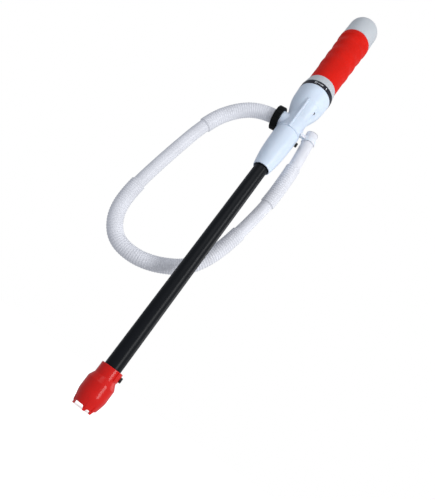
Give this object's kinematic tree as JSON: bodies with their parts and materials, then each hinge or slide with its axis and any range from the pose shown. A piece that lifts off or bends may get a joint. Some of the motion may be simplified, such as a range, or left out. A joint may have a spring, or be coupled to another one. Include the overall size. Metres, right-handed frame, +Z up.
{
  "type": "battery drum transfer pump",
  "caption": "Hand-held battery transfer pump: twist-switch grip over a motor bell, long black suction tube, red strainer foot and a clear corrugated discharge hose.",
  "frame": {"origin": "centre of the strainer's foot, on the pump's axis, in the plane of the feet", "axes": "+Z up the pump's axis to the handle, +X towards the hose clip, -X side carries the outlet, +Y is behind, where the hose passes"},
  "size_m": [0.172, 0.0708, 0.665],
  "materials": {
    "housing_plastic": "satin moulded white plastic",
    "cap_plastic": "satin moulded pale grey plastic",
    "clip_plastic": "milky moulded plastic",
    "grip_red": "soft red grip rubber",
    "strainer_red": "gloss red plastic",
    "black_plastic": "gloss black plastic",
    "nut_black": "satin black plastic",
    "hose_clear": "milky soft vinyl, half see-through",
    "label_ink": "printed black band with plain white marks",
    "inner_plastic": "grey moulded plastic",
    "seal_rubber": "black nitrile rubber",
    "steel": "bright steel",
    "screw_black": "black oxide steel",
    "contact_brass": "plated brass",
    "copper": "enamelled copper wire",
    "magnet": "ferrite",
    "wire_red": "red wire insulation",
    "wire_black": "black wire insulation",
    "cell_jacket": "plain dark cell jacket"
  },
  "bodies": {
    "pump_body": {"strainer": "strainer_red", "inlet_plate": "black_plastic", "pump_casing": "black_plastic", "lower_shaft_bush": "contact_brass", "suction_tube": "black_plastic", "tube_guides": "inner_plastic", "tube_o_ring": "seal_rubber", "strainer_screw": "screw_black", "lower_body": "housing_plastic", "body_gasket": "seal_rubber", "body_screw": "screw_black", "motor_housing": "housing_plastic", "housing_screw": "steel", "switch_label_band": "label_ink", "hose_clip": "clip_plastic", "shaft_seal": "seal_rubber", "motor_carrier": "inner_plastic", "motor_screws": "steel", "motor_can": "steel", "motor_magnets": "magnet", "motor_end_bell": "inner_plastic", "motor_terminals": "contact_brass", "motor_brushes": "contact_brass", "lead_negative": "wire_black", "lead_positive": "wire_red", "contact_board": "inner_plastic", "fixed_contacts": "contact_brass", "outlet_gasket": "seal_rubber", "hose_tail": "inner_plastic", "hose_nut": "nut_black", "discharge_hose": "hose_clear"},
    "handle": {"battery_case": "cap_plastic", "grip_sleeve": "grip_red", "retaining_ring": "steel", "switch_wiper": "contact_brass", "base_contact": "contact_brass", "negative_strip": "contact_brass", "cell_lower": "cell_jacket", "cell_upper": "cell_jacket", "cap_seal_ring": "seal_rubber"},
    "cap_contact": {"cap_contact_plate": "contact_brass", "cap_contact_spring": "steel"},
    "battery_cap_body": {"battery_cap": "cap_plastic"},
    "rotor": {"motor_shaft": "steel", "armature_core": "steel", "armature_windings": "copper", "commutator": "copper", "shaft_coupling": "contact_brass", "drive_shaft": "steel", "impeller": "inner_plastic"}
  },
  "joints": [
    {"name": "switch_twist", "type": "hinge", "parent": "pump_body", "child": "handle", "pos_m": [0, 0, 0.5], "axis": [0, 0, 1], "range_deg": [0, 40]},
    {"name": "cap_lift", "type": "slide", "parent": "handle", "child": "cap_contact", "axis": [0, 0, 1], "range_m": [0, 0.01]},
    {"name": "cap_turn", "type": "hinge", "parent": "cap_contact", "child": "battery_cap_body", "pos_m": [0, 0, 0.636], "axis": [0, 0, 1], "range_deg": [0, 900]},
    {"name": "rotor_spin", "type": "hinge", "parent": "pump_body", "child": "rotor", "pos_m": [0, 0, 0.43], "axis": [0, 0, 1], "continuous": true}
  ],
  "couplings": [
    {"joint": "cap_lift", "follows": "cap_turn", "m_per_rad": 0.00063662}
  ]
}
